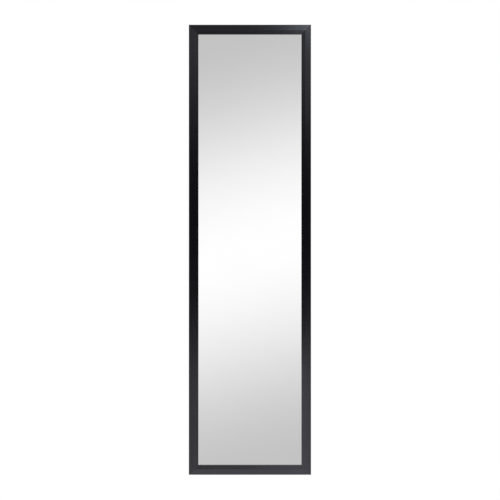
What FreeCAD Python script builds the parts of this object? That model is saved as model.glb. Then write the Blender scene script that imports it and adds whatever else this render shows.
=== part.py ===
import FreeCAD
import Part
import math
import os

# Over-the-door mirror: a silvered pane in a mitred moulding, a back held in by turn buttons,
# and two strap hangers that slide up the stiles and hook over the top of a door.
# Millimetres. X runs to the right as seen from the front, Y from front to back, Z up.
# The origin is the middle of the door's top front edge, with both hangers at their lowest.

# Pane and the two sheets behind it
glass_width = 304.8
glass_height = 1219.2
glass_thickness = 3.0
glass_arris = 0.5
filler_thickness = 3.0
board_thickness = 3.0
board_recess = 0.2

# Frame moulding
face_width = 26.5
frame_depth = 16.0
glass_lap = 8.5
rebate_clearance = 0.8
slope_width = 10.0
slope_drop = 3.6
crown_drop = 0.6
crest_radius = 1.5
outer_edge_radius = 2.0
sight_edge_radius = 0.8
back_edge_radius = 0.6
mitre_gap = 0.1

# V-nails across the mitres
nail_leg = 6.0
nail_gauge = 0.5
nail_height = 8.0
nail_stand = 0.15
nail_clearance = 0.05
nail_margin = 4.5

# Strap hangers
strap_width = 14.0
strap_gauge = 1.5
strap_bend = 2.0
strap_end_radius = 4.0
strap_end_margin = 10.0
slot_clearance = 0.2
hanger_travel = 60.0
door_room = 45.5
lip_length = 30.0
hook_below_top = 0.4
door_hole_radius = 2.25

# Pads inside the hooks
pad_thickness = 2.4
pad_width = 12.0
pad_corner_gap = 1.0
front_pad_length = 26.0
top_pad_length = 30.0
lip_pad_length = 18.0
pad_hole_clearance = 1.0

# Screws, washers and inserts that clamp the hangers
washer_below_pad = 13.0
hanger_screw_pitch = 32.0
hanger_screw_radius = 2.0
hanger_screw_depth = 7.0
hanger_head_radius = 4.0
hanger_head_height = 1.4
washer_radius = 5.0
washer_gauge = 0.6
insert_wall = 1.2
insert_length = 9.0
insert_flange_radius = 5.0
insert_flange = 0.5
thread_clearance = 0.05

# Turn buttons and their pivot screws
button_gauge = 1.0
button_eye_radius = 6.0
button_tip_radius = 4.0
button_reach = 20.0
button_edge = 0.2
rib_width = 3.0
rib_height = 0.5
rib_from_head = 3.0
rib_from_tip = 5.0
stile_button_inset = 270.0
pivot_radius = 1.4
pivot_clearance = 0.08
pivot_depth = 8.0
pivot_head_radius = 3.0
pivot_head_height = 1.6
pivot_head_gap = 0.1

# Cross recess in every screw head
recess_width = 0.9
recess_length = 3.4
recess_depth = 0.7
head_edge = 0.6

# Bumpers at the foot of the stiles
bumper_base_radius = 6.5
bumper_face_radius = 5.5
bumper_inset = 32.0

# Sizes that follow from the ones above
overall_width = glass_width - 2 * glass_lap + 2 * face_width
overall_height = glass_height - 2 * glass_lap + 2 * face_width
rebate_depth = glass_thickness + filler_thickness + board_thickness + board_recess
back_width = face_width - glass_lap - rebate_clearance
back_centre = back_width / 2
stand_off = insert_flange + strap_gauge + pad_thickness
frame_back = -stand_off
hook_top = pad_thickness + strap_gauge
frame_top = hook_top + hook_below_top
frame_bottom = frame_top - overall_height
frame_middle = (frame_top + frame_bottom) / 2
strap_front = frame_back + insert_flange
strap_back = strap_front + strap_gauge
lip_front = door_room + pad_thickness
lip_back = lip_front + strap_gauge
hanger_x = overall_width / 2 - back_centre
front_pad_bottom = -pad_corner_gap - front_pad_length
upper_screw_z = front_pad_bottom - washer_below_pad - washer_radius
lower_screw_z = upper_screw_z - hanger_screw_pitch
slot_radius = hanger_screw_radius + slot_clearance
slot_bottom_z = lower_screw_z - hanger_travel
strap_bottom = slot_bottom_z - slot_radius - strap_end_margin

Y_AXIS = FreeCAD.Vector(0, 1, 0)
ORIGIN = FreeCAD.Vector(0, 0, 0)


def at(x, y, z):
    return FreeCAD.Vector(x, y, z)


def rounded_outline(corners):
    """Closed wire through (point, radius) corners, each rounded by a tangent arc."""
    rounded = []
    for index, (point, radius) in enumerate(corners):
        before = (corners[index - 1][0] - point).normalize()
        after = (corners[(index + 1) % len(corners)][0] - point).normalize()
        if radius == 0:
            rounded.append((point, point, point))
            continue
        half_angle = before.getAngle(after) / 2
        inward = (before + after).normalize()
        reach = radius / math.tan(half_angle)
        middle = point + inward * (radius / math.sin(half_angle) - radius)
        rounded.append((point + before * reach, middle, point + after * reach))
    edges = []
    for index, (start, middle, end) in enumerate(rounded):
        if start != end:
            edges.append(Part.Arc(start, middle, end).toShape())
        next_start = rounded[(index + 1) % len(rounded)][0]
        edges.append(Part.LineSegment(end, next_start).toShape())
    return Part.Wire(edges)


def prism(corners, sweep):
    return Part.Face(rounded_outline(corners)).extrude(sweep)


def sharp(points):
    return [(point, 0) for point in points]


def rod(x, z, front, back, radius):
    """Cylinder along Y from front to back."""
    return Part.makeCylinder(radius, back - front, at(x, front, z), Y_AXIS)


def obround(x1, z1, x2, z2, radius, front, back):
    """Round-ended bar along Y whose two end centres are (x1, z1) and (x2, z2)."""
    run = at(x2 - x1, 0, z2 - z1)
    side = run.cross(Y_AXIS).normalize() * radius
    over = FreeCAD.Vector(run).normalize() * radius
    start, end = at(x1, front, z1), at(x2, front, z2)
    outline = Part.Wire([
        Part.LineSegment(start + side, end + side).toShape(),
        Part.Arc(end + side, end + over, end - side).toShape(),
        Part.LineSegment(end - side, start - side).toShape(),
        Part.Arc(start - side, start - over, start + side).toShape(),
    ])
    return Part.Face(outline).extrude(at(0, back - front, 0))


def sheet(width, height, front, thickness):
    """Flat sheet centred in the frame."""
    corner = at(-width / 2, front, frame_middle - height / 2)
    return Part.makeBox(width, thickness, height, corner)


def group(solids):
    return Part.makeCompound(solids)


# Places that repeat on the frame

def corner_signs():
    return [(x, z) for x in (-1, 1) for z in (-1, 1)]


def hanger_screw_places():
    return [(side * hanger_x, z) for side in (-1, 1) for z in (upper_screw_z, lower_screw_z)]


def button_places():
    """Node name to (x, z, turn about Y that points the button inwards)."""
    places = {
        "top_turn_button": (0, frame_top - back_centre, 90),
        "bottom_turn_button": (0, frame_bottom + back_centre, -90),
    }
    heights = {
        "upper": frame_top - stile_button_inset,
        "middle": frame_middle,
        "lower": frame_bottom + stile_button_inset,
    }
    for level, z in heights.items():
        places[f"left_{level}_turn_button"] = (-hanger_x, z, 0)
        places[f"right_{level}_turn_button"] = (hanger_x, z, 180)
    return places


# Frame

def moulding(length):
    """Mitred length along X, outer edge at Z 0, back at Y 0, sight edge towards -Z."""
    section = [
        (0, 0, back_edge_radius),
        (back_width, 0, 0),
        (back_width, rebate_depth, 0),
        (face_width, rebate_depth, 0),
        (face_width, frame_depth - slope_drop, sight_edge_radius),
        (face_width - slope_width, frame_depth, crest_radius),
        (0, frame_depth - crown_drop, outer_edge_radius),
    ]
    corners = [(at(-length / 2, -forward, -inward), radius) for inward, forward, radius in section]
    bar = prism(corners, at(length, 0, 0))
    half = length / 2 - mitre_gap / math.sqrt(2)
    spare = face_width
    between_mitres = sharp([
        at(-half - spare, spare, spare),
        at(half + spare, spare, spare),
        at(half - 2 * face_width, spare, -2 * face_width),
        at(2 * face_width - half, spare, -2 * face_width),
    ])
    return bar.common(prism(between_mitres, at(0, -frame_depth - 2 * spare, 0)))


def v_nail(sign_x, sign_z, inset, clearance):
    """L of sheet steel across a mitre, one leg along each rail, driven in from the back."""
    near = inset - clearance
    far = inset + nail_gauge + clearance
    end = inset + nail_leg + clearance
    outline = [(near, near), (end, near), (end, far), (far, far), (far, end), (near, end)]
    back = frame_back + nail_stand + clearance
    corner_x = sign_x * overall_width / 2
    corner_z = frame_middle + sign_z * overall_height / 2
    points = [at(corner_x - sign_x * p, back, corner_z - sign_z * q) for p, q in outline]
    return prism(sharp(points), at(0, -nail_height - 2 * clearance, 0))


def v_nails(clearance):
    insets = (nail_margin, back_width - nail_margin - nail_gauge)
    return [v_nail(x, z, inset, clearance) for x, z in corner_signs() for inset in insets]


def frame_holes():
    inserts = [
        rod(x, z, frame_back - insert_length, frame_back, insert_radius() + thread_clearance)
        for x, z in hanger_screw_places()
    ]
    pivots = [
        rod(x, z, frame_back - pivot_depth - thread_clearance, frame_back, pivot_radius + thread_clearance)
        for x, z, turn in button_places().values()
    ]
    return inserts + pivots


def frame_lengths():
    """The four mitred lengths, drilled and slotted."""
    sides = {
        "top_rail": (overall_width, 0, at(0, frame_back, frame_top)),
        "bottom_rail": (overall_width, 180, at(0, frame_back, frame_bottom)),
        "left_stile": (overall_height, -90, at(-overall_width / 2, frame_back, frame_middle)),
        "right_stile": (overall_height, 90, at(overall_width / 2, frame_back, frame_middle)),
    }
    cuts = frame_holes() + v_nails(nail_clearance)
    lengths = {}
    for name, (length, turn, place) in sides.items():
        bar = moulding(length)
        bar.rotate(ORIGIN, Y_AXIS, turn)
        bar.translate(place)
        lengths[name] = bar.cut(cuts)
    return lengths


# Pane and backing

def mirror_glass():
    pane = sheet(glass_width, glass_height, frame_back - rebate_depth, glass_thickness)
    return pane.makeChamfer(glass_arris, pane.Edges)


def filler_sheet():
    return sheet(glass_width, glass_height, frame_back - rebate_depth + glass_thickness, filler_thickness)


def back_board():
    front = frame_back - board_recess - board_thickness
    return sheet(glass_width, glass_height, front, board_thickness)


# Fasteners

def screw(x, z, seat, radius, depth_to, head_radius, head_height):
    """Cross-recessed pan-head screw along Y; its head stands on the plane y = seat."""
    head = rod(x, z, seat, seat + head_height, head_radius)
    rim = [edge for edge in head.Edges if edge.BoundBox.YMin > seat + head_height / 2]
    head = head.makeFillet(head_edge, rim)
    for width, height in ((recess_width, recess_length), (recess_length, recess_width)):
        corner = at(x - width / 2, seat + head_height - recess_depth, z - height / 2)
        head = head.cut(Part.makeBox(width, head_height, height, corner))
    return head.fuse(rod(x, z, depth_to, seat, radius)).removeSplitter()


def insert_radius():
    return hanger_screw_radius + thread_clearance + insert_wall


def hanger_screws():
    seat = strap_back + washer_gauge
    tip = frame_back - hanger_screw_depth
    return group([
        screw(x, z, seat, hanger_screw_radius, tip, hanger_head_radius, hanger_head_height)
        for x, z in hanger_screw_places()
    ])


def hanger_washers():
    bore = hanger_screw_radius + thread_clearance
    return group([
        rod(x, z, strap_back, strap_back + washer_gauge, washer_radius)
        .cut(rod(x, z, strap_back, strap_back + washer_gauge, bore))
        for x, z in hanger_screw_places()
    ])


def hanger_insert(x, z):
    """Threaded sleeve in the stile; the strap bears on its flange."""
    front = frame_back - insert_length
    sleeve = rod(x, z, front, frame_back, insert_radius())
    flange = rod(x, z, frame_back, strap_front, insert_flange_radius)
    bore = rod(x, z, front, strap_front, hanger_screw_radius + thread_clearance)
    return sleeve.fuse(flange).cut(bore)


def turn_button_screws():
    seat = frame_back + button_gauge + pivot_head_gap
    tip = frame_back - pivot_depth
    return group([
        screw(x, z, seat, pivot_radius, tip, pivot_head_radius, pivot_head_height)
        for x, z, turn in button_places().values()
    ])


# Turn buttons

def turn_button(x, z, turn):
    """Teardrop plate with its eye on the pivot and a pressed rib along the arm."""
    tip_x = button_reach - button_tip_radius
    spread = math.acos((button_eye_radius - button_tip_radius) / tip_x)
    along, across = math.cos(spread), math.sin(spread)
    eye = [at(button_eye_radius * along, 0, side * button_eye_radius * across) for side in (1, -1)]
    tip = [at(tip_x + button_tip_radius * along, 0, side * button_tip_radius * across) for side in (1, -1)]
    outline = Part.Wire([
        Part.Arc(eye[0], at(-button_eye_radius, 0, 0), eye[1]).toShape(),
        Part.LineSegment(eye[1], tip[1]).toShape(),
        Part.Arc(tip[1], at(button_reach, 0, 0), tip[0]).toShape(),
        Part.LineSegment(tip[0], eye[0]).toShape(),
    ])
    plate = Part.Face(outline).extrude(at(0, button_gauge, 0))
    upper = [edge for edge in plate.Edges if edge.BoundBox.YMin > button_gauge / 2]
    plate = plate.makeChamfer(button_edge, upper)
    plate = plate.cut(rod(0, 0, 0, button_gauge, pivot_radius + pivot_clearance))
    rib_radius = rib_width / 2
    rib_start = pivot_head_radius + rib_from_head + rib_radius
    rib_end = button_reach - rib_from_tip - rib_radius
    rib = obround(rib_start, 0, rib_end, 0, rib_radius, 0, button_gauge + rib_height)
    crown = [edge for edge in rib.Edges if edge.BoundBox.YMin > button_gauge]
    button = plate.fuse(rib.makeChamfer(rib_height / 2, crown)).removeSplitter()
    button.rotate(ORIGIN, Y_AXIS, turn)
    button.translate(at(x, frame_back, z))
    return button


# Hangers

def hanger_strap(x):
    """Steel strap bent over the door: slotted shank, bridge with a screw hole, and a rear lip."""
    outer = strap_bend + strap_gauge
    lip_bottom = hook_top - lip_length
    bridge_under = hook_top - strap_gauge
    side_view = [
        (strap_front, strap_bottom, 0),
        (strap_front, hook_top, outer),
        (lip_back, hook_top, outer),
        (lip_back, lip_bottom, 0),
        (lip_front, lip_bottom, 0),
        (lip_front, bridge_under, strap_bend),
        (strap_back, bridge_under, strap_bend),
        (strap_back, strap_bottom, 0),
    ]
    corners = [(at(x - strap_width / 2, y, z), radius) for y, z, radius in side_view]
    strap = prism(corners, at(strap_width, 0, 0))
    below_bends = bridge_under - strap_bend
    ends = [edge for edge in strap.Edges if runs_along_y(edge) and edge.BoundBox.ZMax < below_bends]
    strap = strap.makeFillet(strap_end_radius, ends)
    slot = obround(x, slot_bottom_z, x, upper_screw_z, slot_radius, strap_front, strap_back)
    hole = Part.makeCylinder(door_hole_radius, strap_gauge, at(x, door_room / 2, bridge_under))
    return strap.cut(slot).cut(hole)


def runs_along_y(edge):
    box = edge.BoundBox
    return box.YLength > box.XLength + box.ZLength


def hook_pads(x):
    """Three pads inside a hook: on the shank, under the bridge and on the lip."""
    left = x - pad_width / 2
    lip_pad_bottom = -pad_corner_gap - lip_pad_length
    top_pad_front = (door_room - top_pad_length) / 2
    front = Part.makeBox(pad_width, pad_thickness, front_pad_length, at(left, strap_back, front_pad_bottom))
    lip = Part.makeBox(pad_width, pad_thickness, lip_pad_length, at(left, door_room, lip_pad_bottom))
    top = Part.makeBox(pad_width, top_pad_length, pad_thickness, at(left, top_pad_front, 0))
    hole_radius = door_hole_radius + pad_hole_clearance
    hole = Part.makeCylinder(hole_radius, pad_thickness, at(x, door_room / 2, 0))
    return group([front, lip, top.cut(hole)])


def bumper(x):
    """Rubber foot with a flat face on the door."""
    z = frame_bottom + bumper_inset
    return Part.makeCone(bumper_base_radius, bumper_face_radius, stand_off, at(x, frame_back, z), Y_AXIS)


def build():
    nodes = frame_lengths()
    nodes["corner_v_nails"] = group(v_nails(0))
    nodes["mirror_glass"] = mirror_glass()
    nodes["filler_sheet"] = filler_sheet()
    nodes["back_board"] = back_board()
    nodes["turn_button_screws"] = turn_button_screws()
    nodes["hanger_screws"] = hanger_screws()
    nodes["hanger_washers"] = hanger_washers()
    nodes["hanger_inserts"] = group([hanger_insert(x, z) for x, z in hanger_screw_places()])
    for name, place in button_places().items():
        nodes[name] = turn_button(*place)
    for side, x in (("left", -hanger_x), ("right", hanger_x)):
        nodes[f"{side}_hanger_strap"] = hanger_strap(x)
        nodes[f"{side}_hook_pads"] = hook_pads(x)
        nodes[f"{side}_bumper"] = bumper(x)
    return nodes


os.makedirs("parts", exist_ok=True)
for name, shape in build().items():
    shape.exportStep(f"parts/{name}.step")
    box = shape.BoundBox
    print(f"{name:26s} {len(shape.Solids)} solids, valid {shape.isValid()}, {shape.Volume / 1000:9.2f} cm3,"
          f" {box.XLength:.1f} x {box.YLength:.1f} x {box.ZLength:.1f}")
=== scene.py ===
import bpy
import bmesh
import math
from mathutils import Matrix, Vector


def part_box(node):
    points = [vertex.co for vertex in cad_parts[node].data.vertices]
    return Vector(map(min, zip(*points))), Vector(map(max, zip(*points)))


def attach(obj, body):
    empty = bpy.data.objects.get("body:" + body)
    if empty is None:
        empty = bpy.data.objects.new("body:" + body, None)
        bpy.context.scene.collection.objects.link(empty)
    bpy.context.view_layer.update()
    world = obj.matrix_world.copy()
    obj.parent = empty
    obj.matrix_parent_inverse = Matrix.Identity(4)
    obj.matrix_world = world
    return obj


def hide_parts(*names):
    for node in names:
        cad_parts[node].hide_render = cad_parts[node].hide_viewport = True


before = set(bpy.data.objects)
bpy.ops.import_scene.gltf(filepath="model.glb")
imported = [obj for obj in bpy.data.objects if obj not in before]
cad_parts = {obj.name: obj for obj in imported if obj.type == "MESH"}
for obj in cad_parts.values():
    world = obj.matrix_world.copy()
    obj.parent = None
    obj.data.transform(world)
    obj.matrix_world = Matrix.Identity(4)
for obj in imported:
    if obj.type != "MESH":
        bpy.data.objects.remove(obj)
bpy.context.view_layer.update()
mm = 0.001
weld = 0.001 * mm  # points closer than this are one point
smoothDegrees = 35  # faces that meet more sharply than this keep a hard edge


# small helpers

def toLinear(hexColour):
    srgb = [int(hexColour[i:i + 2], 16) / 255 for i in (1, 3, 5)]
    return [c / 12.92 if c <= 0.04045 else ((c + 0.055) / 1.055) ** 2.4 for c in srgb] + [1.0]


def addNode(tree, kind, inputs, **settings):
    node = tree.nodes.new(kind)
    for name, value in settings.items():
        setattr(node, name, value)
    for name, value in inputs.items():
        if isinstance(value, bpy.types.NodeSocket):
            tree.links.new(value, node.inputs[name])
        else:
            node.inputs[name].default_value = value
    return node


def newTree(name):
    material = bpy.data.materials.new(name)
    material.use_nodes = True
    material.node_tree.nodes.clear()
    return material, material.node_tree


def perMetre(sizeMm):
    return 1 / (sizeMm * mm)  # texture scale for a pattern of that real size


def newPiece(name, bm, material):
    mesh = bpy.data.meshes.new(name)
    bm.to_mesh(mesh)
    bm.free()
    for polygon in mesh.polygons:
        polygon.use_smooth = True
    mesh.set_sharp_from_angle(angle=math.radians(smoothDegrees))
    mesh.materials.append(material)
    piece = bpy.data.objects.new(name, mesh)
    bpy.context.scene.collection.objects.link(piece)
    return piece


def flattenShading(piece):
    weighted = piece.modifiers.new("flat faces stay flat", "WEIGHTED_NORMAL")
    weighted.keep_sharp = True


def fitPiece(piece, body, node):
    flattenShading(piece)
    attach(piece, body)
    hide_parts(node)


def sharpEdges(bm, degrees):
    return [e for e in bm.edges if e.is_manifold and e.calc_face_angle() > math.radians(degrees)]


def roundEdges(bm, edges, radius, segments):
    return bmesh.ops.bevel(bm, geom=edges, offset=radius, offset_type="OFFSET", affect="EDGES",
                           segments=segments, profile=0.5, material=-1)["faces"]


# materials

def blackPolystyrene():
    # extruded polystyrene moulding: satin black with a cool gloss, faint die lines along its length
    look = {"dark": "#07060c", "light": "#09080f", "gloss": "#f4f0ff", "ior": 1.59,
            "blotchMm": 45, "lineMm": 0.5, "streakMm": 70, "lineDepth": 0.003 * mm,
            "roughLow": 0.15, "roughHigh": 0.18}
    material, tree = newTree("extruded black polystyrene")
    uv = addNode(tree, "ShaderNodeUVMap", {}, uv_map="length").outputs["UV"]
    blotch = addNode(tree, "ShaderNodeTexNoise", {
        "Vector": uv, "Scale": perMetre(look["blotchMm"]), "Detail": 3.0}).outputs["Fac"]
    colour = addNode(tree, "ShaderNodeMix", {
        "Factor": blotch, "A": toLinear(look["dark"]), "B": toLinear(look["light"])}, data_type="RGBA")
    rough = addNode(tree, "ShaderNodeMapRange", {
        "Value": blotch, "To Min": look["roughLow"], "To Max": look["roughHigh"]})
    lineSpace = addNode(tree, "ShaderNodeMapping", {
        "Vector": uv, "Scale": (perMetre(look["streakMm"]), perMetre(look["lineMm"]), 1.0)})
    lines = addNode(tree, "ShaderNodeTexNoise", {
        "Vector": lineSpace.outputs["Vector"], "Scale": 1.0, "Detail": 2.0})
    bump = addNode(tree, "ShaderNodeBump", {
        "Height": lines.outputs["Fac"], "Strength": 1.0, "Distance": look["lineDepth"]})
    shader = addNode(tree, "ShaderNodeBsdfPrincipled", {
        "Base Color": colour.outputs["Result"], "Roughness": rough.outputs["Result"],
        "Normal": bump.outputs["Normal"], "IOR": look["ior"], "Specular Tint": toLinear(look["gloss"])})
    addNode(tree, "ShaderNodeOutputMaterial", {"Surface": shader.outputs["BSDF"]})
    return material


def silveredGlass():
    # float glass silvered behind: a clean mirror, a shade greyer in slow clouds
    look = {"silver": "#fbfbfb", "cloud": "#f9f9f9", "cloudMm": 160}
    material, tree = newTree("silvered float glass")
    place = addNode(tree, "ShaderNodeTexCoord", {}).outputs["Object"]
    cloud = addNode(tree, "ShaderNodeTexNoise", {
        "Vector": place, "Scale": perMetre(look["cloudMm"]), "Detail": 2.0})
    colour = addNode(tree, "ShaderNodeMix", {
        "Factor": cloud.outputs["Fac"], "A": toLinear(look["silver"]), "B": toLinear(look["cloud"])},
        data_type="RGBA")
    shader = addNode(tree, "ShaderNodeBsdfPrincipled", {
        "Base Color": colour.outputs["Result"], "Metallic": 1.0, "Roughness": 0.0})
    addNode(tree, "ShaderNodeOutputMaterial", {"Surface": shader.outputs["BSDF"]})
    return material


def kraftCardboard():
    # corrugated kraft board: dull tan paper, the flutes showing through as faint upright stripes
    look = {"tan": "#b18a5d", "brown": "#98714a", "fibreMm": 3.0,
            "fluteMm": 6.3, "fluteDepth": 0.05 * mm, "fluteWander": 0.4, "fluteShare": 0.3,
            "roughLow": 0.8, "roughHigh": 0.92}
    waveTurn = 20  # radians that a wave node turns through in one unit
    material, tree = newTree("corrugated kraft cardboard")
    place = addNode(tree, "ShaderNodeTexCoord", {}).outputs["Object"]
    flutes = addNode(tree, "ShaderNodeTexWave", {
        "Vector": place, "Scale": 2 * math.pi / waveTurn * perMetre(look["fluteMm"]),
        "Distortion": look["fluteWander"]})
    fibres = addNode(tree, "ShaderNodeTexNoise", {
        "Vector": place, "Scale": perMetre(look["fibreMm"]), "Detail": 5.0}).outputs["Fac"]
    tone = addNode(tree, "ShaderNodeMix", {
        "Factor": look["fluteShare"], "A": fibres, "B": flutes.outputs["Fac"]})
    colour = addNode(tree, "ShaderNodeMix", {
        "Factor": tone.outputs["Result"], "A": toLinear(look["brown"]), "B": toLinear(look["tan"])},
        data_type="RGBA")
    rough = addNode(tree, "ShaderNodeMapRange", {
        "Value": fibres, "To Min": look["roughLow"], "To Max": look["roughHigh"]})
    bump = addNode(tree, "ShaderNodeBump", {
        "Height": flutes.outputs["Fac"], "Strength": 1.0, "Distance": look["fluteDepth"]})
    shader = addNode(tree, "ShaderNodeBsdfPrincipled", {
        "Base Color": colour.outputs["Result"], "Roughness": rough.outputs["Result"],
        "Normal": bump.outputs["Normal"]})
    addNode(tree, "ShaderNodeOutputMaterial", {"Surface": shader.outputs["BSDF"]})
    return material


def smoothHardboard():
    # pressed wood fibre: brown and a little polished, clouded, flecked with paler and darker fibres
    look = {"brown": "#775438", "deep": "#6c4a31", "pale": "#9a7751", "dark": "#4a301f",
            "cloudMm": 60, "cloudFrom": 0.3, "cloudFull": 0.7,
            "fibreLongMm": 4, "fibreWideMm": 0.4, "fibreDepth": 0.02 * mm,
            "fibreTurns": (12, 48, 83, 121, 158),
            "paleFrom": 0.6, "paleFull": 0.76, "paleShare": 0.5,
            "darkFrom": 0.4, "darkFull": 0.24, "darkShare": 0.5,
            "roughFrom": 0.45, "roughFull": 0.7, "roughLow": 0.4, "roughHigh": 0.58}
    material, tree = newTree("smooth brown hardboard")
    place = addNode(tree, "ShaderNodeTexCoord", {}).outputs["Object"]
    cloud = addNode(tree, "ShaderNodeTexNoise", {
        "Vector": place, "Scale": perMetre(look["cloudMm"]), "Detail": 4.0}).outputs["Fac"]
    clouded = addNode(tree, "ShaderNodeMapRange", {
        "Value": cloud, "From Min": look["cloudFrom"], "From Max": look["cloudFull"]})
    along, across = perMetre(look["fibreLongMm"]), perMetre(look["fibreWideMm"])
    highest, lowest = 0.0, 1.0
    for degrees in look["fibreTurns"]:
        turned = addNode(tree, "ShaderNodeVectorRotate", {
            "Vector": place, "Angle": math.radians(degrees)}, rotation_type="Y_AXIS")
        stretched = addNode(tree, "ShaderNodeMapping", {
            "Vector": turned.outputs["Vector"], "Scale": (along, across, across)})
        fibre = addNode(tree, "ShaderNodeTexNoise", {
            "Vector": stretched.outputs["Vector"], "Scale": 1.0, "Detail": 2.0}).outputs["Fac"]
        highest = addNode(tree, "ShaderNodeMath", {
            0: highest, 1: fibre}, operation="MAXIMUM").outputs["Value"]
        lowest = addNode(tree, "ShaderNodeMath", {
            0: lowest, 1: fibre}, operation="MINIMUM").outputs["Value"]
    paler = addNode(tree, "ShaderNodeMapRange", {
        "Value": highest, "From Min": look["paleFrom"], "From Max": look["paleFull"],
        "To Max": look["paleShare"]})
    darker = addNode(tree, "ShaderNodeMapRange", {
        "Value": lowest, "From Min": look["darkFrom"], "From Max": look["darkFull"],
        "To Max": look["darkShare"]})
    ground = addNode(tree, "ShaderNodeMix", {
        "Factor": clouded.outputs["Result"], "A": toLinear(look["deep"]), "B": toLinear(look["brown"])},
        data_type="RGBA")
    withPale = addNode(tree, "ShaderNodeMix", {
        "Factor": paler.outputs["Result"], "A": ground.outputs["Result"], "B": toLinear(look["pale"])},
        data_type="RGBA")
    colour = addNode(tree, "ShaderNodeMix", {
        "Factor": darker.outputs["Result"], "A": withPale.outputs["Result"], "B": toLinear(look["dark"])},
        data_type="RGBA")
    rough = addNode(tree, "ShaderNodeMapRange", {
        "Value": highest, "From Min": look["roughFrom"], "From Max": look["roughFull"],
        "To Min": look["roughLow"], "To Max": look["roughHigh"]})
    bump = addNode(tree, "ShaderNodeBump", {
        "Height": highest, "Strength": 1.0, "Distance": look["fibreDepth"]})
    shader = addNode(tree, "ShaderNodeBsdfPrincipled", {
        "Base Color": colour.outputs["Result"], "Roughness": rough.outputs["Result"],
        "Normal": bump.outputs["Normal"]})
    addNode(tree, "ShaderNodeOutputMaterial", {"Surface": shader.outputs["BSDF"]})
    return material


def zincPlate():
    # pressed steel, bright zinc plated: pale silver with a straw cast in places and a soft grain
    look = {"silver": "#bfc3c8", "straw": "#c4bda9", "castMm": 9,
            "grainMm": 0.6, "grainDepth": 0.004 * mm,
            "roughFrom": 0.3, "roughFull": 0.7, "roughLow": 0.22, "roughHigh": 0.38}
    material, tree = newTree("bright zinc plated steel")
    place = addNode(tree, "ShaderNodeTexCoord", {}).outputs["Object"]
    cast = addNode(tree, "ShaderNodeTexNoise", {
        "Vector": place, "Scale": perMetre(look["castMm"]), "Detail": 3.0}).outputs["Fac"]
    grain = addNode(tree, "ShaderNodeTexNoise", {
        "Vector": place, "Scale": perMetre(look["grainMm"]), "Detail": 3.0}).outputs["Fac"]
    colour = addNode(tree, "ShaderNodeMix", {
        "Factor": cast, "A": toLinear(look["silver"]), "B": toLinear(look["straw"])}, data_type="RGBA")
    rough = addNode(tree, "ShaderNodeMapRange", {
        "Value": cast, "From Min": look["roughFrom"], "From Max": look["roughFull"],
        "To Min": look["roughLow"], "To Max": look["roughHigh"]})
    bump = addNode(tree, "ShaderNodeBump", {
        "Height": grain, "Strength": 1.0, "Distance": look["grainDepth"]})
    shader = addNode(tree, "ShaderNodeBsdfPrincipled", {
        "Base Color": colour.outputs["Result"], "Metallic": 1.0, "Roughness": rough.outputs["Result"],
        "Normal": bump.outputs["Normal"]})
    addNode(tree, "ShaderNodeOutputMaterial", {"Surface": shader.outputs["BSDF"]})
    return material


def bluedSteel():
    # rolled spring steel, heat blued: dark slate with brown patches and fine lines across the strip
    look = {"blue": "#4c5461", "brown": "#5a5149", "patchMm": 4, "lineMm": 0.25,
            "roughFrom": 0.3, "roughFull": 0.7, "roughLow": 0.3, "roughHigh": 0.45}
    material, tree = newTree("blued spring steel")
    place = addNode(tree, "ShaderNodeTexCoord", {}).outputs["Object"]
    patch = addNode(tree, "ShaderNodeTexNoise", {
        "Vector": place, "Scale": perMetre(look["patchMm"]), "Detail": 3.0}).outputs["Fac"]
    along, across = perMetre(look["patchMm"]), perMetre(look["lineMm"])
    stretched = addNode(tree, "ShaderNodeMapping", {"Vector": place, "Scale": (across, along, across)})
    lines = addNode(tree, "ShaderNodeTexNoise", {
        "Vector": stretched.outputs["Vector"], "Scale": 1.0, "Detail": 2.0})
    colour = addNode(tree, "ShaderNodeMix", {
        "Factor": patch, "A": toLinear(look["blue"]), "B": toLinear(look["brown"])}, data_type="RGBA")
    rough = addNode(tree, "ShaderNodeMapRange", {
        "Value": lines.outputs["Fac"], "From Min": look["roughFrom"], "From Max": look["roughFull"],
        "To Min": look["roughLow"], "To Max": look["roughHigh"]})
    shader = addNode(tree, "ShaderNodeBsdfPrincipled", {
        "Base Color": colour.outputs["Result"], "Metallic": 1.0, "Roughness": rough.outputs["Result"]})
    addNode(tree, "ShaderNodeOutputMaterial", {"Surface": shader.outputs["BSDF"]})
    return material


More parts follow.
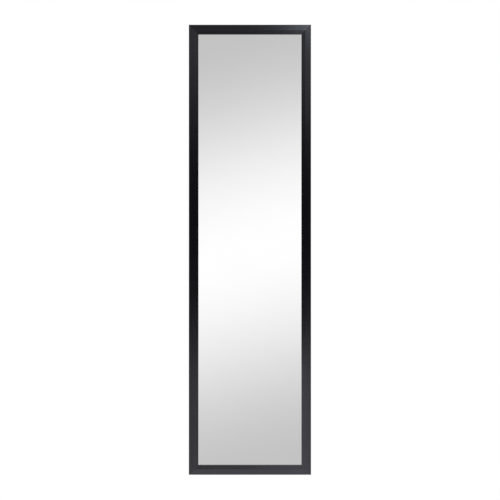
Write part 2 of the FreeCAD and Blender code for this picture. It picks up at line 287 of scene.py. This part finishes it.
def blackPowderCoat():
    # baked polyester powder on steel: soft black, orange peel, rubbed to grey in places along the edges
    look = {"dark": "#121214", "light": "#18181a", "rubbed": "#55565a",
            "cloudMm": 30, "peelMm": 1.4, "peelDepth": 0.03 * mm,
            "rubMm": 5, "rubFrom": 0.5, "rubFull": 0.62, "rubShare": 0.5,
            "roughLow": 0.42, "roughHigh": 0.5}
    material, tree = newTree("black powder coat on steel")
    place = addNode(tree, "ShaderNodeTexCoord", {}).outputs["Object"]
    cloud = addNode(tree, "ShaderNodeTexNoise", {
        "Vector": place, "Scale": perMetre(look["cloudMm"]), "Detail": 3.0}).outputs["Fac"]
    peel = addNode(tree, "ShaderNodeTexNoise", {
        "Vector": place, "Scale": perMetre(look["peelMm"]), "Detail": 1.0}).outputs["Fac"]
    rub = addNode(tree, "ShaderNodeTexNoise", {
        "Vector": place, "Scale": perMetre(look["rubMm"]), "Detail": 4.0}).outputs["Fac"]
    patches = addNode(tree, "ShaderNodeMapRange", {
        "Value": rub, "From Min": look["rubFrom"], "From Max": look["rubFull"],
        "To Max": look["rubShare"]})
    onEdge = addNode(tree, "ShaderNodeAttribute", {}, attribute_name="edge").outputs["Fac"]
    rubbed = addNode(tree, "ShaderNodeMath", {
        0: onEdge, 1: patches.outputs["Result"]}, operation="MULTIPLY")
    coat = addNode(tree, "ShaderNodeMix", {
        "Factor": cloud, "A": toLinear(look["dark"]), "B": toLinear(look["light"])}, data_type="RGBA")
    colour = addNode(tree, "ShaderNodeMix", {
        "Factor": rubbed.outputs["Value"], "A": coat.outputs["Result"], "B": toLinear(look["rubbed"])},
        data_type="RGBA")
    rough = addNode(tree, "ShaderNodeMapRange", {
        "Value": cloud, "To Min": look["roughLow"], "To Max": look["roughHigh"]})
    bump = addNode(tree, "ShaderNodeBump", {
        "Height": peel, "Strength": 1.0, "Distance": look["peelDepth"]})
    shader = addNode(tree, "ShaderNodeBsdfPrincipled", {
        "Base Color": colour.outputs["Result"], "Roughness": rough.outputs["Result"],
        "Normal": bump.outputs["Normal"]})
    addNode(tree, "ShaderNodeOutputMaterial", {"Surface": shader.outputs["BSDF"]})
    return material


def blackRubber():
    # vulcanised black rubber: matt, with a greyish bloom in patches and a fine pebble
    look = {"black": "#171716", "bloom": "#232322", "bloomMm": 7,
            "pebbleMm": 0.5, "pebbleDepth": 0.03 * mm,
            "roughLow": 0.72, "roughHigh": 0.88}
    material, tree = newTree("matt black rubber")
    place = addNode(tree, "ShaderNodeTexCoord", {}).outputs["Object"]
    bloom = addNode(tree, "ShaderNodeTexNoise", {
        "Vector": place, "Scale": perMetre(look["bloomMm"]), "Detail": 4.0}).outputs["Fac"]
    pebble = addNode(tree, "ShaderNodeTexNoise", {
        "Vector": place, "Scale": perMetre(look["pebbleMm"]), "Detail": 1.0}).outputs["Fac"]
    colour = addNode(tree, "ShaderNodeMix", {
        "Factor": bloom, "A": toLinear(look["black"]), "B": toLinear(look["bloom"])}, data_type="RGBA")
    rough = addNode(tree, "ShaderNodeMapRange", {
        "Value": bloom, "To Min": look["roughLow"], "To Max": look["roughHigh"]})
    bump = addNode(tree, "ShaderNodeBump", {
        "Height": pebble, "Strength": 1.0, "Distance": look["pebbleDepth"]})
    shader = addNode(tree, "ShaderNodeBsdfPrincipled", {
        "Base Color": colour.outputs["Result"], "Roughness": rough.outputs["Result"],
        "Normal": bump.outputs["Normal"]})
    addNode(tree, "ShaderNodeOutputMaterial", {"Surface": shader.outputs["BSDF"]})
    return material


def turnedBrass():
    # free-cutting brass, turned: warm yellow, slightly tarnished, with a fine cut along the axis
    look = {"bright": "#cfa558", "tarnish": "#a9803c", "patchMm": 3, "cutMm": 0.2,
            "roughFrom": 0.3, "roughFull": 0.7, "roughLow": 0.2, "roughHigh": 0.34}
    material, tree = newTree("turned brass")
    place = addNode(tree, "ShaderNodeTexCoord", {}).outputs["Object"]
    patch = addNode(tree, "ShaderNodeTexNoise", {
        "Vector": place, "Scale": perMetre(look["patchMm"]), "Detail": 3.0}).outputs["Fac"]
    along, across = perMetre(look["cutMm"]), perMetre(look["patchMm"])
    stretched = addNode(tree, "ShaderNodeMapping", {"Vector": place, "Scale": (across, along, across)})
    cut = addNode(tree, "ShaderNodeTexNoise", {
        "Vector": stretched.outputs["Vector"], "Scale": 1.0, "Detail": 1.0})
    colour = addNode(tree, "ShaderNodeMix", {
        "Factor": patch, "A": toLinear(look["bright"]), "B": toLinear(look["tarnish"])},
        data_type="RGBA")
    rough = addNode(tree, "ShaderNodeMapRange", {
        "Value": cut.outputs["Fac"], "From Min": look["roughFrom"], "From Max": look["roughFull"],
        "To Min": look["roughLow"], "To Max": look["roughHigh"]})
    shader = addNode(tree, "ShaderNodeBsdfPrincipled", {
        "Base Color": colour.outputs["Result"], "Metallic": 1.0, "Roughness": rough.outputs["Result"]})
    addNode(tree, "ShaderNodeOutputMaterial", {"Surface": shader.outputs["BSDF"]})
    return material


polystyrene = blackPolystyrene()
mirrorFinish = silveredGlass()
cardboard = kraftCardboard()
hardboard = smoothHardboard()
zinc = zincPlate()
springSteel = bluedSteel()
powderCoat = blackPowderCoat()
rubber = blackRubber()
brass = turnedBrass()
print("materials made")


# frame

moulding = {"lap": 8.5 * mm, "rebateGap": 0.8 * mm, "mitreGap": 0.1 * mm,
            "slopeWidth": 10.0 * mm, "slopeDrop": 3.6 * mm, "crownDrop": 0.6 * mm,
            "crestRound": 1.5 * mm, "outerRound": 2.0 * mm, "sightRound": 0.8 * mm, "backRound": 0.6 * mm,
            "roundSegments": 6}
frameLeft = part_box("left_stile")[0].x
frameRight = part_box("right_stile")[1].x
frameFront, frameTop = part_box("top_rail")[0].y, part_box("top_rail")[1].z
frameBack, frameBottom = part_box("top_rail")[1].y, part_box("bottom_rail")[0].z
frameMiddle = Vector(((frameLeft + frameRight) / 2, frameBack, (frameTop + frameBottom) / 2))
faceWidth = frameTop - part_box("top_rail")[0].z
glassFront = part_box("mirror_glass")[0].y


def mouldingSection():
    # corners of the section as (in from the outer edge, out from the back, rounding)
    depth, lipBack = frameBack - frameFront, frameBack - glassFront
    backWidth = faceWidth - moulding["lap"] - moulding["rebateGap"]
    return [
        (0, 0, moulding["backRound"]),
        (backWidth, 0, 0),
        (backWidth, lipBack, 0),
        (faceWidth, lipBack, 0),
        (faceWidth, depth - moulding["slopeDrop"], moulding["sightRound"]),
        (faceWidth - moulding["slopeWidth"], depth, moulding["crestRound"]),
        (0, depth - moulding["crownDrop"], moulding["outerRound"]),
    ]


def makeLength(name, node, length, turn, place):
    section = mouldingSection()
    bm = bmesh.new()
    end = bm.faces.new([bm.verts.new((-length / 2, -out, -inward)) for inward, out, radius in section])
    swept = bmesh.ops.extrude_face_region(bm, geom=[end])["geom"]
    farEnd = [v for v in swept if isinstance(v, bmesh.types.BMVert)]
    bmesh.ops.translate(bm, verts=farEnd, vec=(length, 0, 0))
    bmesh.ops.recalc_face_normals(bm, faces=bm.faces)
    for index, (inward, out, radius) in enumerate(section):
        if not radius:
            continue
        corner = Vector((out, inward))
        before = Vector(section[index - 1][1::-1]) - corner
        after = Vector(section[(index + 1) % len(section)][1::-1]) - corner
        setBack = radius / math.tan(before.angle(after) / 2)
        lengthwise = [e for e in bm.edges if abs(e.verts[0].co.x - e.verts[1].co.x) > faceWidth]
        edges = [e for e in lengthwise if (-e.verts[0].co.yz - corner).length < weld]
        roundEdges(bm, edges, setBack, moulding["roundSegments"])
    half = length / 2 - moulding["mitreGap"] / math.sqrt(2)
    for side in (1, -1):
        whole = bm.verts[:] + bm.edges[:] + bm.faces[:]
        cut = bmesh.ops.bisect_plane(bm, geom=whole, plane_co=(side * half, 0, 0), plane_no=(side, 0, -1),
                                     clear_outer=True)["geom_cut"]
        bmesh.ops.holes_fill(bm, edges=[e for e in cut if isinstance(e, bmesh.types.BMEdge)], sides=0)
    uv = bm.loops.layers.uv.new("length")  # along the length, then round the section
    for face in bm.faces:
        for loop in face.loops:
            x, y, z = loop.vert.co
            loop[uv].uv = (x, -z - y)
    turned = Matrix.Rotation(math.radians(turn), 3, "Y")
    bmesh.ops.rotate(bm, verts=bm.verts, cent=(0, 0, 0), matrix=turned)
    bmesh.ops.translate(bm, verts=bm.verts, vec=place)
    fitPiece(newPiece(name, bm, polystyrene), "frame", node)


frameWidth, frameHeight = frameRight - frameLeft, frameTop - frameBottom
for name, node, length, turn, place in (
        ("topRail", "top_rail", frameWidth, 0, (frameMiddle.x, frameBack, frameTop)),
        ("bottomRail", "bottom_rail", frameWidth, 180, (frameMiddle.x, frameBack, frameBottom)),
        ("leftStile", "left_stile", frameHeight, -90, (frameLeft, frameBack, frameMiddle.z)),
        ("rightStile", "right_stile", frameHeight, 90, (frameRight, frameBack, frameMiddle.z))):
    makeLength(name, node, length, turn, place)
print("frame: four mitred lengths")


# CAD shapes with their edges eased as the press, the saw or the coating leaves them

easing = {"board": 0.5 * mm, "strap": 0.35 * mm, "washer": 0.15 * mm,
          "flatDegrees": 0.5, "edgeDegrees": 35, "segments": 2}


def easeCopy(name, node, body, material, radius):
    bm = bmesh.new()
    bm.from_mesh(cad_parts[node].data)
    bmesh.ops.remove_doubles(bm, verts=bm.verts, dist=weld)
    bmesh.ops.dissolve_limit(bm, verts=bm.verts, edges=bm.edges,
                             angle_limit=math.radians(easing["flatDegrees"]))
    edge = bm.faces.layers.float.new("edge")
    for face in roundEdges(bm, sharpEdges(bm, easing["edgeDegrees"]), radius, easing["segments"]):
        face[edge] = 1.0
    fitPiece(newPiece(name, bm, material), body, node)


easeCopy("backBoard", "back_board", "frame", hardboard, easing["board"])
easeCopy("hangerWashers", "hanger_washers", "frame", zinc, easing["washer"])
for side in ("left", "right"):
    easeCopy(side + "Strap", side + "_hanger_strap", side + "_hanger", powderCoat,
             easing["strap"])
print("back board, straps and washers eased")


# hook pads

pads = {"thickness": 2.4 * mm, "front": 26.0 * mm, "top": 30.0 * mm, "lip": 18.0 * mm,
        "cornerGap": 1.0 * mm, "hole": 3.25 * mm, "holeSteps": 32,
        "cornerRound": 2.0 * mm, "edgeRound": 0.4 * mm, "edgeDegrees": 60, "segments": 4}


def addPad(bm, width, length, hole, turn, middle):
    slab = bmesh.new()
    underside = Matrix.Translation((0, 0, -pads["thickness"] / 2))
    bmesh.ops.create_grid(slab, x_segments=1, y_segments=1, size=0.5, matrix=underside)
    bmesh.ops.scale(slab, verts=slab.verts, vec=(width, length, 1))
    bmesh.ops.bevel(slab, geom=slab.verts[:], offset=pads["cornerRound"], offset_type="OFFSET",
                    affect="VERTICES", segments=pads["segments"], profile=0.5, material=-1)
    if hole:
        bmesh.ops.delete(slab, geom=slab.faces[:], context="FACES_ONLY")
        bmesh.ops.create_circle(slab, segments=pads["holeSteps"], radius=hole, matrix=underside)
        bmesh.ops.bridge_loops(slab, edges=slab.edges)
    swept = bmesh.ops.extrude_face_region(slab, geom=slab.faces[:])["geom"]
    raised = [v for v in swept if isinstance(v, bmesh.types.BMVert)]
    bmesh.ops.translate(slab, verts=raised, vec=(0, 0, pads["thickness"]))
    bmesh.ops.recalc_face_normals(slab, faces=slab.faces)
    roundEdges(slab, sharpEdges(slab, pads["edgeDegrees"]), pads["edgeRound"], pads["segments"])
    turned = Matrix.Rotation(math.radians(turn), 3, "X")
    bmesh.ops.rotate(slab, verts=slab.verts, cent=(0, 0, 0), matrix=turned)
    bmesh.ops.translate(slab, verts=slab.verts, vec=middle)
    mesh = bpy.data.meshes.new("slab")
    slab.to_mesh(mesh)
    slab.free()
    bm.from_mesh(mesh)
    bpy.data.meshes.remove(mesh)


def makePads(side):
    low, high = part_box(side + "_hook_pads")
    x, width, half = (low.x + high.x) / 2, high.x - low.x, pads["thickness"] / 2
    bm = bmesh.new()
    addPad(bm, width, pads["front"], 0, 90, (x, low.y + half, -pads["cornerGap"] - pads["front"] / 2))
    addPad(bm, width, pads["lip"], 0, 90, (x, high.y - half, -pads["cornerGap"] - pads["lip"] / 2))
    addPad(bm, width, pads["top"], pads["hole"], 0, (x, (low.y + high.y) / 2, high.z - half))
    piece = newPiece(side + "HookPads", bm, rubber)
    fitPiece(piece, side + "_hanger", side + "_hook_pads")


for side in ("left", "right"):
    makePads(side)
print("hook pads")


# bumpers

bumper = {"face": 5.5 * mm, "rimRound": 1.0 * mm, "footRound": 0.25 * mm,
          "edgeDegrees": 60, "steps": 48, "segments": 5}


def makeBumper(side):
    low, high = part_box(side + "_bumper")
    middle, foot = (low + high) / 2, (high.x - low.x) / 2
    bm = bmesh.new()
    outline = [bm.verts.new(point) for point in (
        (0, low.y, 0), (foot, low.y, 0), (bumper["face"], high.y, 0), (0, high.y, 0))]
    edges = [bm.edges.new(pair) for pair in zip(outline, outline[1:])]
    bmesh.ops.spin(bm, geom=outline + edges, cent=(0, 0, 0), axis=(0, 1, 0), angle=2 * math.pi,
                   steps=bumper["steps"], use_merge=True)
    bmesh.ops.remove_doubles(bm, verts=bm.verts, dist=weld)
    bmesh.ops.recalc_face_normals(bm, faces=bm.faces)
    for y, radius in ((high.y, bumper["rimRound"]), (low.y, bumper["footRound"])):
        edges = sharpEdges(bm, bumper["edgeDegrees"])
        ring = [e for e in edges if all(abs(v.co.y - y) < weld for v in e.verts)]
        roundEdges(bm, ring, radius, bumper["segments"])
    bmesh.ops.translate(bm, verts=bm.verts, vec=(middle.x, 0, middle.z))
    fitPiece(newPiece(side + "Bumper", bm, rubber), "frame", side + "_bumper")


for side in ("left", "right"):
    makeBumper(side)
print("bumpers")


# CAD nodes that keep their shape

def dress(node, material):
    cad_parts[node].data.materials.clear()
    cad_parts[node].data.materials.append(material)


dress("mirror_glass", mirrorFinish)
dress("filler_sheet", cardboard)
dress("corner_v_nails", springSteel)
dress("hanger_inserts", brass)
turnButtons = [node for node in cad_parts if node.endswith("_turn_button")]
for node in ["turn_button_screws", "hanger_screws"] + turnButtons:
    dress(node, zinc)
print("pane, filler, buttons, screws, inserts and nails dressed")


# stage

studio = {"doorHeight": 2.032, "floor": "#f1f1f0",
          "floorRadius": 1.6, "floorFade": 0.9, "floorSteps": 96}


def makeFloor():
    # matt pale paint that fades out towards the rim and is clear from below
    material, tree = newTree("pale studio floor")
    place = addNode(tree, "ShaderNodeTexCoord", {}).outputs["Object"]
    away = addNode(tree, "ShaderNodeVectorMath", {0: place, 1: (1, 1, 0)}, operation="MULTIPLY")
    radius = addNode(tree, "ShaderNodeVectorMath", {0: away.outputs["Vector"]}, operation="LENGTH")
    fade = addNode(tree, "ShaderNodeMapRange", {
        "Value": radius.outputs["Value"], "From Min": studio["floorFade"],
        "From Max": studio["floorRadius"]}, interpolation_type="SMOOTHSTEP")
    fromBelow = addNode(tree, "ShaderNodeNewGeometry", {}).outputs["Backfacing"]
    clear = addNode(tree, "ShaderNodeMath", {
        0: fade.outputs["Result"], 1: fromBelow}, operation="MAXIMUM")
    paint = addNode(tree, "ShaderNodeBsdfDiffuse", {"Color": toLinear(studio["floor"])})
    gone = addNode(tree, "ShaderNodeBsdfTransparent", {})
    mix = addNode(tree, "ShaderNodeMixShader", {
        "Fac": clear.outputs["Value"], 1: paint.outputs["BSDF"], 2: gone.outputs["BSDF"]})
    addNode(tree, "ShaderNodeOutputMaterial", {"Surface": mix.outputs["Shader"]})
    bm = bmesh.new()
    bmesh.ops.create_circle(bm, cap_ends=True, segments=studio["floorSteps"],
                            radius=studio["floorRadius"])
    bmesh.ops.translate(bm, verts=bm.verts, vec=(0, 0, -studio["doorHeight"]))
    floor = newPiece("floor", bm, material)


makeFloor()

# where the mirror lies in the photograph, in its pixels, and the camera's distance in metres;
# the band is the pane's pale middle, which slants
photo = {"side": 500, "middle": (249.93, 249.75), "mirrorHeight": 450.1, "distance": 2.6,
         "bandHalf": 230, "bandSlant": 0.244}
photo["metresPerPixel"] = frameHeight / photo["mirrorHeight"]


def makeWorld():
    # studio round the mirror: light above and below, dark where the camera stands, pale behind;
    # the mirror itself shows a white card that greys away from its middle, then the pale room beyond it
    look = {"cardGrey": 0.57, "cardWhite": 1.04, "roomEdge": 0.9, "roomShare": 0.8, "cardBounces": 2.5,
            "behindFrom": -0.1, "behindFull": 0.3,
            "behind": {-90: 0.5, -35: 0.45, -22: 0.3, -10: 0.35, 0: 0.55, 9: 0.85, 18: 1.0, 60: 0.9,
                       90: 0.95},
            "front": {-90: 0.5, -45: 0.35, -34: 0.1, -27: 0.1, -22: 0.7, -18: 1.6, -14: 0.9, -11: 0.66,
                      -8: 0.93, -5: 0.13, -2: 0.02, 4: 0.02, 7: 0.08, 10: 0.35, 13: 0.85, 17: 0.2,
                      21: 0.1, 27: 0.8, 34: 1.2, 45: 0.9, 90: 1.0}}  # brightness by degrees up
    world = bpy.data.worlds.new("studio")
    bpy.context.scene.world = world
    world.use_nodes = True
    tree = world.node_tree
    tree.nodes.clear()
    ray = addNode(tree, "ShaderNodeLightPath", {})
    way = addNode(tree, "ShaderNodeTexCoord", {}).outputs["Generated"]
    axes = addNode(tree, "ShaderNodeSeparateXYZ", {"Vector": way})
    cardEdge = math.sin(math.atan(photo["bandHalf"] * photo["metresPerPixel"] / photo["distance"]))
    across = addNode(tree, "ShaderNodeVectorMath", {
        0: way, 1: (-photo["bandSlant"], 0, 1)}, operation="DOT_PRODUCT")
    turn = addNode(tree, "ShaderNodeMapRange", {
        "Value": across.outputs["Value"], "From Min": -cardEdge, "From Max": cardEdge,
        "To Min": -math.pi, "To Max": math.pi})
    wave = addNode(tree, "ShaderNodeMath", {0: turn.outputs["Result"]}, operation="COSINE")
    middle = addNode(tree, "ShaderNodeMapRange", {
        "Value": wave.outputs["Value"], "From Min": -1.0, "From Max": 1.0,
        "To Min": look["cardGrey"], "To Max": look["cardWhite"]})
    offCard = addNode(tree, "ShaderNodeMath", {0: across.outputs["Value"]}, operation="ABSOLUTE")
    beyond = addNode(tree, "ShaderNodeMapRange", {
        "Value": offCard.outputs["Value"], "From Min": cardEdge, "From Max": look["roomEdge"],
        "To Max": look["roomShare"]}, interpolation_type="SMOOTHSTEP")
    card = addNode(tree, "ShaderNodeMix", {
        "Factor": beyond.outputs["Result"], "A": middle.outputs["Result"], "B": look["cardWhite"]})
    elevation = addNode(tree, "ShaderNodeMath", {0: axes.outputs["Z"]}, operation="ARCSINE")
    height = addNode(tree, "ShaderNodeMapRange", {
        "Value": elevation.outputs["Value"], "From Min": -math.pi / 2, "From Max": math.pi / 2})
    bands = {}
    for half in ("front", "behind"):
        bands[half] = addNode(tree, "ShaderNodeValToRGB", {"Fac": height.outputs["Result"]})
        stops = bands[half].color_ramp.elements
        stops.remove(stops[0])
        for degrees, level in look[half].items():
            stops.new(degrees / 180 + 0.5).color = (level, level, level, 1)
        stops.remove(stops[-1])
    isBehind = addNode(tree, "ShaderNodeMapRange", {
        "Value": axes.outputs["Y"], "From Min": look["behindFrom"], "From Max": look["behindFull"]},
        interpolation_type="SMOOTHSTEP")
    around = addNode(tree, "ShaderNodeMix", {
        "Factor": isBehind.outputs["Result"], "A": bands["front"].outputs["Color"],
        "B": bands["behind"].outputs["Color"]}, data_type="RGBA")
    # the card shows up to the second bounce
    early = addNode(tree, "ShaderNodeMath", {
        0: ray.outputs["Ray Depth"], 1: look["cardBounces"]}, operation="LESS_THAN")
    inMirror = addNode(tree, "ShaderNodeMath", {
        0: ray.outputs["Is Singular Ray"], 1: early.outputs["Value"]}, operation="MULTIPLY")
    reflected = addNode(tree, "ShaderNodeMix", {
        "Factor": inMirror.outputs["Value"], "A": around.outputs["Result"], "B": card.outputs["Result"]},
        data_type="RGBA")
    seen = addNode(tree, "ShaderNodeMix", {
        "Factor": ray.outputs["Is Camera Ray"], "A": reflected.outputs["Result"], "B": (1, 1, 1, 1)},
        data_type="RGBA")
    light = addNode(tree, "ShaderNodeBackground", {"Color": seen.outputs["Result"], "Strength": 1.0})
    addNode(tree, "ShaderNodeOutputWorld", {"Surface": light.outputs["Background"]})


makeWorld()

# softboxes, four in front and one behind: place is the middle, size is across and up
lamps = {
    "keyLamp": {"size": (0.8, 0.8), "glow": 3.4, "colour": "#eeffff", "place": (0.7, -3.1, 1.2)},
    "footLamp": {"size": (0.15, 0.95), "glow": 2.3, "colour": "#f6f4ff", "place": (0.4, -3.1, -1.675)},
    "sideStrip": {"size": (0.09, 0.85), "glow": 1.6, "colour": "#f6f4ff", "place": (-1.33, -2.0, -1.6)},
    "slopeLamp": {"size": (0.45, 0.25), "glow": 1.0, "colour": "#f6f4ff", "place": (0.3, -3.1, 0.28)},
    "backLamp": {"size": (0.8, 1.2), "glow": 2.0, "colour": "#ffffff", "place": (0.9, 2.4, 0.7)},
}
lampsMiss = bpy.data.collections.new("lampsMiss")  # no lamp shows in the mirror
lampsMiss.objects.link(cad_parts["mirror_glass"])
lampsMiss.collection_objects[0].light_linking.link_state = "EXCLUDE"


def makeLamp(name):
    look = lamps[name]
    lamp = bpy.data.lights.new(name, "AREA")
    lamp.shape = "RECTANGLE"
    lamp.size, lamp.size_y = look["size"]
    lamp.energy = look["glow"] * math.pi * lamp.size * lamp.size_y  # in watts; a glow of 1 is white
    lamp.color = toLinear(look["colour"])[:3]
    stand = bpy.data.objects.new(name, lamp)
    stand.location = look["place"]
    turn = 90 if stand.location.y < 0 else -90  # square to the mirror
    stand.rotation_euler = (math.radians(turn), 0, 0)
    stand.visible_camera = False
    stand.light_linking.receiver_collection = lampsMiss
    bpy.context.scene.collection.objects.link(stand)


for name in lamps:
    makeLamp(name)


def makeCamera():
    camera = bpy.data.objects.new("camera", bpy.data.cameras.new("camera"))
    silhouette = frameFront + moulding["outerRound"]
    offX, offZ = (photo["side"] / 2 - pixel for pixel in photo["middle"])
    camera.location = (frameMiddle.x + offX * photo["metresPerPixel"], silhouette - photo["distance"],
                       frameMiddle.z - offZ * photo["metresPerPixel"])
    camera.rotation_euler = (math.radians(90), 0, 0)
    span = photo["side"] * photo["metresPerPixel"]
    camera.data.lens = camera.data.sensor_width * photo["distance"] / span
    bpy.context.scene.collection.objects.link(camera)
    bpy.context.scene.camera = camera


makeCamera()
bpy.context.scene.view_settings.view_transform = "Standard"
print("stage, world and camera ready")
